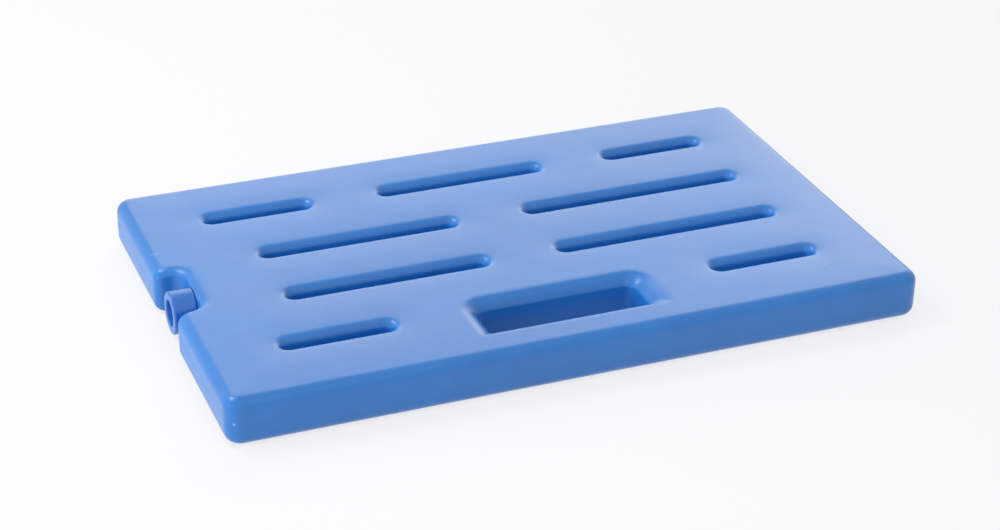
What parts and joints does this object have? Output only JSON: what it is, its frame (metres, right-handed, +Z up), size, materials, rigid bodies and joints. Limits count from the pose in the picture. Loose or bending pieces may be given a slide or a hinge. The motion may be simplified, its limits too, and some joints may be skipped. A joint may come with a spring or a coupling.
{
  "type": "reusable ice pack",
  "caption": "Flat rigid reusable ice pack: a moulded blue slab of sealed cooling gel with a hand hole, rows of pinched slots and a filler cap in a side notch.",
  "frame": {"origin": "on the surface that the pack lies on, under the middle of the slab's outline", "axes": "+X along the length, away from the filler notch; +Y along the width, away from the hand hole; +Z up through the thickness"},
  "size_m": [0.53, 0.325, 0.038],
  "materials": {
    "shell_plastic": "satin blow-moulded polyethylene with a soft sheen, faint broad unevenness on the faces",
    "cap_plastic": "smooth injection-moulded polyethylene, slightly glossier than the shell"
  },
  "bodies": {
    "root": {"pack_body": "shell_plastic", "filler_cap": "cap_plastic"}
  },
  "joints": []
}
